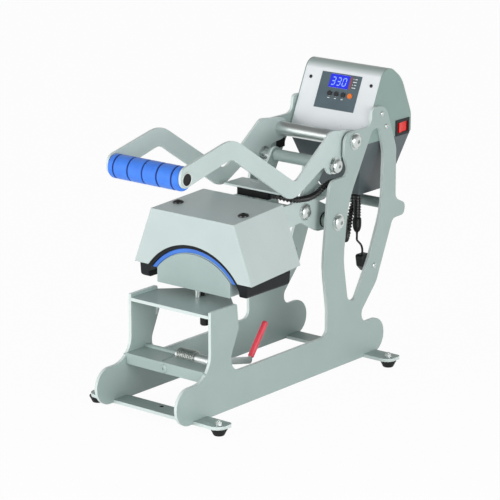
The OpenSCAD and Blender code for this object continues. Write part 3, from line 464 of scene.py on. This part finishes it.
# One node may hold pieces of two finishes: the screws of the control face are black, and so is the pin
# behind the form's post, while the inlet's three pins are bright. Those fill a space in the middle of the
# inlet, which starts just past the floor that they stand on.
PIN_SPACE_X, PIN_SPACE_Z, PIN_SPACE_FROM, PIN_SPACE_TO = 9 * MM, 5 * MM, 3.1 * MM, 14 * MM
inlet_low, inlet_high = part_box("power_inlet")
inlet_middle = (inlet_low + inlet_high) / 2
painted_where(finished["power_inlet"], zinc, lambda c, n: abs(c.x - inlet_middle.x) < PIN_SPACE_X
              and abs(c.z - inlet_middle.z) < PIN_SPACE_Z
              and inlet_low.y + PIN_SPACE_FROM < c.y < inlet_low.y + PIN_SPACE_TO)
FACE_SCREW_REACH = 78 * MM
post_low, post_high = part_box("form_posts")
painted_where(finished["frame_screws"], screw_black_and_hole_shade, lambda c, n: abs(c.x) < FACE_SCREW_REACH)
painted_where(finished["form_posts"], screw_black_and_hole_shade, lambda c, n: c.y > (post_low.y + post_high.y) / 2)

# %% [markdown]
# ## The foam grip
# The grip is a foam sleeve pushed over the handle tube, with five narrow grooves turned into it and soft
# shoulders at its ends. A turned form is a profile swept round an axis, so the profile is all there is to
# draw: a list of radius and place along the tube, with each groove as a small rounded dip.

# %% Grip
grip_low, grip_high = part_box("grip")
GRIP_RADIUS = (grip_high.z - grip_low.z) / 2
GRIP_HALF = grip_high.x
GRIP_CENTRE = Vector((0, (grip_low.y + grip_high.y) / 2, (grip_low.z + grip_high.z) / 2))
GROOVE_PITCH = 2 * GRIP_HALF / 4.8
GROOVE_SPREAD, GROOVE_DEPTH = 1.5 * MM, 2.4 * MM
SHOULDER_LONG, SHOULDER_DROP = 6 * MM, 3.4 * MM
GROOVES = [GROOVE_PITCH * (i - 2) for i in range(5)]
GRIP_SIDES = 96


def turned(name, profile, centre, sides, body, material):
    """A closed profile of (x, radius) pairs swept round an axis along X."""
    angles = [2 * math.pi * k / sides for k in range(sides)]
    points = [centre + Vector((x, r * math.cos(a), r * math.sin(a))) for x, r in profile for a in angles]
    count = len(profile)
    faces = [(i * sides + k, i * sides + (k + 1) % sides, ((i + 1) % count) * sides + (k + 1) % sides,
              ((i + 1) % count) * sides + k) for i in range(count) for k in range(sides)]
    obj = piece(name, points, faces, None, material)
    outward(obj.data)
    smooth_by_angle(obj.data, 40)
    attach(obj, body)
    return obj


def grip_radius(x):
    dip = sum(math.exp(-((x - g) / GROOVE_SPREAD) ** 2) for g in GROOVES) * GROOVE_DEPTH
    end = max(0.0, (abs(x) - (GRIP_HALF - SHOULDER_LONG)) / SHOULDER_LONG)
    return GRIP_RADIUS - dip - SHOULDER_DROP * (1 - math.sqrt(max(0.0, 1 - end * end)))


STEPS = 316
BORE = 12.5 * MM
along = [-GRIP_HALF + 2 * GRIP_HALF * i / STEPS for i in range(STEPS + 1)]
outer = [(x, grip_radius(x)) for x in along]
grip = turned("grip_foam", outer + [(GRIP_HALF, BORE), (-GRIP_HALF, BORE)], GRIP_CENTRE, GRIP_SIDES, "handle",
              foam)
# Painted shade: faces inside the shoulders and below the skin get the darker blue
SHADE_FROM_END, SHADE_BELOW_SKIN = 8 * MM, 0.7 * MM
painted_where(grip, groove_painted_shade, lambda c, n: abs(c.x) < GRIP_HALF - SHADE_FROM_END
              and Vector((0, c.y - GRIP_CENTRE.y, c.z - GRIP_CENTRE.z)).length < GRIP_RADIUS - SHADE_BELOW_SKIN)
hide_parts("grip")
print("grip", round(2 * GRIP_RADIUS / MM, 1), "mm thick,", round(2 * GRIP_HALF / MM, 1), "mm long")

# %% [markdown]
# ## The silicone pad
# The pad is a moulded strip bent over the form. Its cut edges are rounded, so it gets the widest bevel.

# %% Pad
softened("form_pad", 1.6, 3)

# %% [markdown]
# ## Tubes that follow a path
# Cables and spring wire are circles carried along a line. Each ring is turned only as much as the path
# turns, which keeps the tube from twisting. The radius may change from ring to ring: that is how ribs,
# tapers and strain reliefs are made.

# %% Sweeping a circle along a path
def carried_frames(path):
    count = len(path)
    ahead = [(path[min(i + 1, count - 1)] - path[max(i - 1, 0)]).normalized() for i in range(count)]
    start = Vector((1, 0, 0)) if abs(ahead[0].x) < 0.9 else Vector((0, 0, 1))
    sideways = (start - ahead[0] * start.dot(ahead[0])).normalized()
    frames = []
    for t in ahead:
        sideways = (sideways - t * sideways.dot(t)).normalized()
        frames.append((sideways, t.cross(sideways)))
    return frames


def swept(name, path, radii, sides, body, material):
    frames = carried_frames(path)
    points = [p + (u * math.cos(2 * math.pi * k / sides) + v * math.sin(2 * math.pi * k / sides)) * r
              for p, r, (u, v) in zip(path, radii, frames) for k in range(sides)]
    faces = [(i * sides + k, i * sides + (k + 1) % sides, (i + 1) * sides + (k + 1) % sides,
              (i + 1) * sides + k) for i in range(len(path) - 1) for k in range(sides)]
    last = (len(path) - 1) * sides
    faces += [tuple(range(sides))[::-1], tuple(range(last, last + sides))]
    obj = piece(name, points, faces, None, material, 50)
    outward(obj.data)
    if body:
        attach(obj, body)
    return obj


def smooth_path(route, step):
    """A Catmull-Rom curve through the route, in points about one step apart."""
    pts = [Vector(p) * MM for p in route]
    pts = [2 * pts[0] - pts[1]] + pts + [2 * pts[-1] - pts[-2]]
    dense = []
    for a, b, c, d in zip(pts, pts[1:], pts[2:], pts[3:]):
        for k in range(40):
            t = k / 40
            dense.append(0.5 * (2 * b + (c - a) * t + (2 * a - 5 * b + 4 * c - d) * t * t
                                + (3 * b - a - 3 * c + d) * t ** 3))
    dense.append(pts[-2])
    lengths = [0.0]
    for p, q in zip(dense, dense[1:]):
        lengths.append(lengths[-1] + (q - p).length)
    count = max(2, round(lengths[-1] / step))
    result, j = [], 0
    for i in range(count + 1):
        want = lengths[-1] * i / count
        while j < len(lengths) - 2 and lengths[j + 1] < want:
            j += 1
        share = (want - lengths[j]) / max(lengths[j + 1] - lengths[j], 1e-12)
        result.append(dense[j].lerp(dense[j + 1], min(1.0, share)))
    return result, lengths[-1]


# %% [markdown]
# ## The heater cable and the sensor lead
# The heater cable leaves the magnet block, passes over the right platen arm and through the tower, hangs
# in a short loop and enters the hopper from below. Its jacket is corrugated. It has to bend when the press
# opens; here the mesh is built once, where it lies, and rides on no body.

# %% Cables
block_low, block_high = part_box("magnet_block")
HOPPER_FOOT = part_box("control_tray")[0].z / MM
HEATER_START = Vector((block_high.x, (block_low.y + block_high.y) / 2, (block_low.z + block_high.z) / 2)) / MM
HEATER_GLAND = (15, 262)
HEATER_ROUTE = [HEATER_START, HEATER_START + Vector((5, 0, 0)), HEATER_START + Vector((12, 0, 0)),
                (60, -2, 351), (69, 12, 347), (71.5, 32, 344.5), (71.5, 56, 343), (71.5, 78, 347),
                (71.5, 97, 355), (71.5, 120, 359), (70, 144, 352), (64, 166, 324), (55, 182, 278),
                (46, 194, 240), (36, 211, 226), (29, 226, 233), (25, 236, 247), (18, 251, 268),
                (*HEATER_GLAND, 282), (*HEATER_GLAND, 290), (*HEATER_GLAND, HOPPER_FOOT - 8)]
BOOT_START = Vector((31, 252, HOPPER_FOOT))
BOOT_END = Vector((42, 238, 232))
BOOT_WAY = (BOOT_END - BOOT_START).normalized()
LEAD_ROUTE = [BOOT_END, BOOT_END + 3 * BOOT_WAY, BOOT_END + 6 * BOOT_WAY, (46, 233, 222), (55, 226, 221),
              (66, 217.5, 220.5), (75, 209, 219.5), (80, 204, 217), (81, 203, 214), (81, 203, 211),
              (81, 203, 208)]
CABLE_RADIUS = 6 * MM
RIB = 2.2 * MM
RIB_PITCH = 6.4 * MM
RINGS_PER_RIB = 8
heater_path, heater_length = smooth_path(HEATER_ROUTE, RIB_PITCH / RINGS_PER_RIB)
ribs = [CABLE_RADIUS - RIB * (0.5 - 0.5 * math.cos(2 * math.pi * i / RINGS_PER_RIB))
        for i in range(len(heater_path))]
heater = swept("heater_cable_jacket", heater_path, ribs, 20, None, conduit)
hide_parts("heater_cable")
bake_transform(heater)
lead_path, lead_length = smooth_path(LEAD_ROUTE, 2 * MM)
lead = swept("sensor_lead_jacket", lead_path, [2 * MM] * len(lead_path), 16, "root", jacket)
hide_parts("sensor_lead")
print("heater cable", round(heater_length / MM), "mm, sensor lead", round(lead_length / MM), "mm")

# %% [markdown]
# ## Rings that repeat along a line
# The ribs of a strain relief and the thread of a screw are the same thing: a ring, repeated at a steady
# pitch, that may shrink on its way. One geometry node tree makes them all. It takes the places to start
# from as the vertices of a mesh, and its sizes are named inputs.

# %% Ring tree
def ring_tree():
    tree = bpy.data.node_groups.new("rings_along_a_line", "GeometryNodeTree")
    sockets = {}
    for label, kind in (("Places", "Geometry"), ("Count", "Int"), ("Step", "Vector"),
                        ("Ring Radius", "Float"), ("Wire Radius", "Float"), ("End Scale", "Float"),
                        ("Finish", "Material")):
        sockets[label] = tree.interface.new_socket(label, in_out="INPUT", socket_type="NodeSocket" + kind)
    tree.interface.new_socket("Rings", in_out="OUTPUT", socket_type="NodeSocketGeometry")
    given = add(tree, "NodeGroupInput").outputs
    round_way = add(tree, "GeometryNodeCurvePrimitiveCircle", [("Radius", given["Ring Radius"])],
                    Resolution=36)
    wire = add(tree, "GeometryNodeCurvePrimitiveCircle", [("Radius", given["Wire Radius"])], Resolution=10)
    ring = add(tree, "GeometryNodeCurveToMesh", [("Curve", round_way.outputs["Curve"]),
                                                 ("Profile Curve", wire.outputs["Curve"])])
    line = add(tree, "GeometryNodeMeshLine", [("Count", given["Count"]), ("Offset", given["Step"])])
    turn = add(tree, "FunctionNodeAlignRotationToVector", [("Vector", given["Step"])], axis="Z")
    index = add(tree, "GeometryNodeInputIndex").outputs["Index"]
    size = add(tree, "ShaderNodeMapRange", [("Value", index), ("From Max", given["Count"]),
                                            ("To Max", given["End Scale"])], To_Min=1.0)
    row = add(tree, "GeometryNodeInstanceOnPoints", [("Points", line.outputs["Mesh"]),
                                                     ("Instance", ring.outputs["Mesh"]),
                                                     ("Rotation", turn.outputs["Rotation"]),
                                                     ("Scale", size.outputs["Result"])])
    rows = add(tree, "GeometryNodeInstanceOnPoints", [("Points", given["Places"]),
                                                      ("Instance", row.outputs["Instances"])])
    real = add(tree, "GeometryNodeRealizeInstances", [("Geometry", rows.outputs["Instances"])])
    smooth = add(tree, "GeometryNodeSetShadeSmooth", [("Geometry", real.outputs["Geometry"])])
    finish = add(tree, "GeometryNodeSetMaterial", [("Geometry", smooth.outputs["Geometry"]),
                                                   ("Material", given["Finish"])])
    tree.links.new(add(tree, "NodeGroupOutput").inputs["Rings"], finish.outputs["Geometry"])
    return tree, {label: socket.identifier for label, socket in sockets.items()}


RINGS, RING_INPUT = ring_tree()


def ring_rows(name, places, body, slot, **sizes):
    """Rows of rings, one row from each place; the sizes are the tree's own inputs."""
    mesh = bpy.data.meshes.new(name)
    mesh.from_pydata([tuple(p) for p in places], [], [])
    obj = bpy.data.objects.new(name, mesh)
    bpy.context.scene.collection.objects.link(obj)
    rows = obj.modifiers.new("rings", "NODES")
    rows.node_group = RINGS
    for label, value in sizes.items():
        rows[RING_INPUT[label.replace("_", " ")]] = value
    obj.data = applied(obj)
    obj.modifiers.clear()
    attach(obj, body)
    return obj


# %% Boot, plug and threads
# The lead's boot is a ribbed sleeve that ends in a smooth moulded plug
SLEEVE_RADIUS, SLEEVE_LONG, PLUG_LONG = 6.3, 44, 71
sleeve_path = [(BOOT_START + BOOT_WAY * t) * MM for t in (3, 15, 30, SLEEVE_LONG + 2)]
swept("boot_sleeve", sleeve_path, [SLEEVE_RADIUS * MM] * 4, 32, "root", conduit)
ring_rows("boot_ribs", [(BOOT_START + BOOT_WAY * 5) * MM], "root", "black_plastic", Count=8,
          Step=tuple(BOOT_WAY * 5.0 * MM), Ring_Radius=SLEEVE_RADIUS * MM, Wire_Radius=1.6 * MM,
          End_Scale=0.96, Finish=conduit)
PLUG = [(SLEEVE_LONG, 5.5), (SLEEVE_LONG + 0.8, 7.2), (SLEEVE_LONG + 3, 8.2), (54, 8.4), (61, 8.0), (66, 6.9),
        (69.5, 5.2), (PLUG_LONG, 4.2)]
swept("boot_plug", [(BOOT_START + BOOT_WAY * t) * MM for t, r in PLUG], [r * MM for t, r in PLUG], 40, "root",
      abs_black)
WASHER_RADIUS = 7 * MM
bolt_low, bolt_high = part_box("foot_bolts")
top_thread = bolt_high.z - 0.5 * MM
thread_places = [(x, y, top_thread) for x in (bolt_low.x + WASHER_RADIUS, bolt_high.x - WASHER_RADIUS)
                 for y in (bolt_low.y + WASHER_RADIUS, bolt_high.y - WASHER_RADIUS)]
ring_rows("foot_threads", thread_places, "root", "zinc", Count=3, Step=(0, 0, -1.0 * MM),
          Ring_Radius=2.95 * MM, Wire_Radius=0.3 * MM, End_Scale=1.0, Finish=zinc)
print("boot and threads done")

# %% [markdown]
# ## The return spring
# A torsion spring is one wire: a leg, the coil, and another leg. The coil is a helix, whose points follow
# from its radius, pitch and turns, and the legs are a few points each. The front leg lies at the crossbar and
# the back leg on the lever; the wire is built once, where it lies, and rides on no body.

# %% Return spring
SPRING = {"turns": 10, "pitch": 4.0, "radius": 12.0, "wire": 1.2, "start": -10.0}
rod_low, rod_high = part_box("hold_down_shaft")
rod_centre = ((rod_low.y + rod_high.y) / 2, (rod_low.z + rod_high.z) / 2)
ROD = (rod_centre[0] / MM, rod_centre[1] / MM)
coil_end = SPRING["start"] + SPRING["turns"] * SPRING["pitch"]
front_leg = [(SPRING["start"], -258.2, 91), (SPRING["start"], -253, 90.4), (SPRING["start"], -229, 86)]
coil = [(SPRING["start"] + SPRING["pitch"] * i / 32, ROD[0] + SPRING["radius"] * math.cos(a),
         ROD[1] + SPRING["radius"] * math.sin(a))
        for i in range(SPRING["turns"] * 32 + 1) for a in [2 * math.pi * i / 32 - math.pi / 2]]
LEG_UNDER = 80.85
back_leg = [(coil_end + 2, -197, 85), (coil_end + 10, -183, LEG_UNDER + 2), (51.5, -175, LEG_UNDER),
            (56.5, -173, LEG_UNDER), (62.5, -173, LEG_UNDER)]
wire_path, wire_length = smooth_path(front_leg + coil[::2] + back_leg, 1.5 * MM)
spring = swept("return_spring_wire", wire_path, [SPRING["wire"] * MM] * len(wire_path), 14, None, wire_steel)
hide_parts("return_spring")
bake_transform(spring)
print("spring wire", round(wire_length / MM), "mm")

# %% [markdown]
# ## The display
# Behind the film's window a backlit panel shows three digits. Each digit is up to seven bars, cut as
# hexagons that lean a little, and laid just above the glass. The marks lie just above the film. Digits and
# marks are all low prisms.

# %% Digits and printed marks on the control face
FACE_TILT = math.radians(65.84)
SLOPE = Vector((0, math.cos(FACE_TILT), math.sin(FACE_TILT)))
FACE_OUT = Vector((1, 0, 0)).cross(SLOPE)
FILM_S, FILM_THICK = 55, 0.6
film_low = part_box("face_overlay")[0]
film_back = Vector((0, film_low.y, film_low.z)) - FACE_OUT * FACE_OUT.y * FILM_THICK * MM
FACE_FOOT = film_back - SLOPE * FILM_S * MM
glass_low, glass_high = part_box("display")
DISPLAY_U = (glass_low.x + glass_high.x) / 2 / MM
DISPLAY_S = ((glass_low + glass_high) / 2 - FACE_FOOT).dot(SLOPE) / MM
SEGMENTS = {"0": "abcdef", "3": "abcdg"}
BARS = {"a": (0, 1, 0), "b": (0.5, 0.5, 1), "c": (0.5, -0.5, 1), "d": (0, -1, 0), "e": (-0.5, -0.5, 1),
        "f": (-0.5, 0.5, 1), "g": (0, 0, 0)}


def on_face(u, s, lift):
    return FACE_FOOT + Vector((1, 0, 0)) * u * MM + SLOPE * s * MM + FACE_OUT * lift * MM


def raised(name, outlines, material, lift, thick):
    """Low prisms over outlines of (u, s) points on the control face."""
    points, faces = [], []
    for outline in outlines:
        start, n = len(points), len(outline)
        points += [on_face(u, s, lift) for u, s in outline]
        points += [on_face(u, s, lift + thick) for u, s in outline]
        faces += [tuple(start + k for k in range(n))[::-1], tuple(start + n + k for k in range(n))]
        faces += [(start + k, start + (k + 1) % n, start + n + (k + 1) % n, start + n + k) for k in range(n)]
    obj = piece(name, points, faces, None, material, 0)
    outward(obj.data)
    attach(obj, "root")


def bar_outline(centre_u, centre_s, wide, tall, bar):
    x, y, upright = BARS[bar]
    half = 0.85
    reach = (tall / 4 if upright else wide / 2) - 0.5
    shape = [(-reach, 0), (-reach + half, half), (reach - half, half), (reach, 0), (reach - half, -half),
             (-reach + half, -half)]
    if upright:
        shape = [(b, a) for a, b in shape][::-1]
    lean = 0.12
    return [(centre_u + x * wide + a + lean * (y * tall / 2 + b), centre_s + y * tall / 2 + b)
            for a, b in shape]


def box_outline(u, s, wide, tall):
    return [(u - wide / 2, s - tall / 2), (u + wide / 2, s - tall / 2), (u + wide / 2, s + tall / 2),
            (u - wide / 2, s + tall / 2)]


def dot_outline(u, s, r):
    angles = [2 * math.pi * k / 20 for k in range(20)]
    return [(u + r * math.cos(a), s + r * math.sin(a)) for a in angles]


DIGIT_PITCH, DIGIT_WIDE, DIGIT_TALL = 12.5, 7.4, 14.5
digit_bars = [bar_outline(DISPLAY_U + DIGIT_PITCH * (i - 1), DISPLAY_S - 0.5, DIGIT_WIDE, DIGIT_TALL, bar)
              for i, digit in enumerate("330") for bar in SEGMENTS[digit]]
DIGIT_LIFT, DIGIT_THICK = 0.55, 0.08
MARK_LIFT, MARK_THICK = 0.61, 0.06
raised("display_digits", digit_bars, lcd_digit, DIGIT_LIFT, DIGIT_THICK)
KEY_U = [(low.x + high.x) / 2 / MM for low, high in (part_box(n) for n in ("key_1", "key_2", "key_3"))]
LENS_U, DOT_U, BAR_U = 24.5, 29.5, 34
KEY_MARK_S = 76
status_s = [DISPLAY_S - 8.5 + 5.5 * i for i in range(4)]
status_bars = [box_outline(BAR_U + 1.5 * (i % 2), s, 7 - 2 * (i % 2), 1.5) for i, s in enumerate(status_s)]
status_dots = [dot_outline(DOT_U, s, 0.9) for s in status_s]
key_bars = [box_outline(u, KEY_MARK_S, 5, 1.3) for u in KEY_U]
lens = [box_outline(LENS_U, DISPLAY_S, 5, 23)]
raised("status_lens", lens, print_red, MARK_LIFT, MARK_THICK)
marks = status_bars + status_dots + key_bars
raised("status_marks", marks, print_white, MARK_LIFT, MARK_THICK)
print("display and marks done")

# %% [markdown]
# ## Stage and light
# A plain pale floor in a studio whose walls are bright and whose ceiling is dark, and two large soft lamps,
# the stronger one in front. That is what gives the photograph its look: edges that face forward
# are nearly white, and whatever faces up is clearly darker. Camera, glossy and transmission rays see a
# nearly white floor and a white horizon that turns grey overhead, which keeps the background clean. All
# other rays see the studio and the plain floor.

# %% Floor, world and lamps
def seeing_rays(tree):
    """1 for camera, glossy and transmission rays, and 0 for the rest."""
    rays = add(tree, "ShaderNodeLightPath")
    first = add(tree, "ShaderNodeMath", [(0, rays.outputs["Is Camera Ray"]),
                                         (1, rays.outputs["Is Glossy Ray"])], operation="MAXIMUM")
    return add(tree, "ShaderNodeMath", [(0, first.outputs[0]), (1, rays.outputs["Is Transmission Ray"])],
               operation="MAXIMUM").outputs[0]


FLOOR_WHITE = 0.96
floor_material, tree, shader = new_material("floor_pale", "#F4F5F5", 0.9)
glow = add(tree, "ShaderNodeEmission", Color=(1, 1, 1, 1), Strength=1.0)
share = add(tree, "ShaderNodeMath", [(0, seeing_rays(tree))], operation="MULTIPLY")
share.inputs[1].default_value = FLOOR_WHITE
mixed = add(tree, "ShaderNodeMixShader", [(0, share.outputs[0]), (1, shader.outputs[0]),
                                          (2, glow.outputs[0])])
tree.links.new(tree.nodes["Material Output"].inputs["Surface"], mixed.outputs[0])
FLOOR = 30.0
floor_mesh = bpy.data.meshes.new("floor")
floor_mesh.from_pydata([(-FLOOR, -FLOOR, 0), (FLOOR, -FLOOR, 0), (FLOOR, FLOOR, 0), (-FLOOR, FLOOR, 0)], [],
                       [(0, 1, 2, 3)])
floor_mesh.materials.append(floor_material)
floor = bpy.data.objects.new("floor", floor_mesh)
bpy.context.scene.collection.objects.link(floor)

WALLS, CEILING, SEEN_CEILING = 1.0, 0.20, 0.22
world = bpy.data.worlds.new("studio")
bpy.context.scene.world = world
world.use_nodes = True
sky = world.node_tree
sky.nodes.clear()
heading = add(sky, "ShaderNodeSeparateXYZ", [("Vector", add(sky, "ShaderNodeTexCoord").outputs["Generated"])])
fade = spread(sky, heading.outputs["Z"], 0.12, 0.75, WALLS, CEILING)
seen = spread(sky, heading.outputs["Z"], 0.10, 0.55, 1.0, SEEN_CEILING)
around = add(sky, "ShaderNodeBackground", [("Strength", fade)], Color=(1, 1, 1, 1))
behind = add(sky, "ShaderNodeBackground", [("Strength", seen)], Color=(1, 1, 1, 1))
both = add(sky, "ShaderNodeMixShader", [(0, seeing_rays(sky)), (1, around.outputs[0]),
                                        (2, behind.outputs[0])])
add(sky, "ShaderNodeOutputWorld", [("Surface", both.outputs[0])])


def lamp(name, position, target, size, watts):
    data = bpy.data.lights.new(name, "AREA")
    data.energy = watts
    data.size = size
    obj = bpy.data.objects.new(name, data)
    bpy.context.scene.collection.objects.link(obj)
    aim = (Vector(target) - Vector(position)).to_track_quat("-Z", "Y")
    obj.matrix_world = Matrix.Translation(Vector(position)) @ aim.to_matrix().to_4x4()


lamp("key", (-0.9, -3.4, 0.9), (0, 0, 0.3), 1.8, 58)
lamp("fill", (3.4, -1.0, 0.8), (0, 0, 0.3), 1.6, 52)
print("stage set")
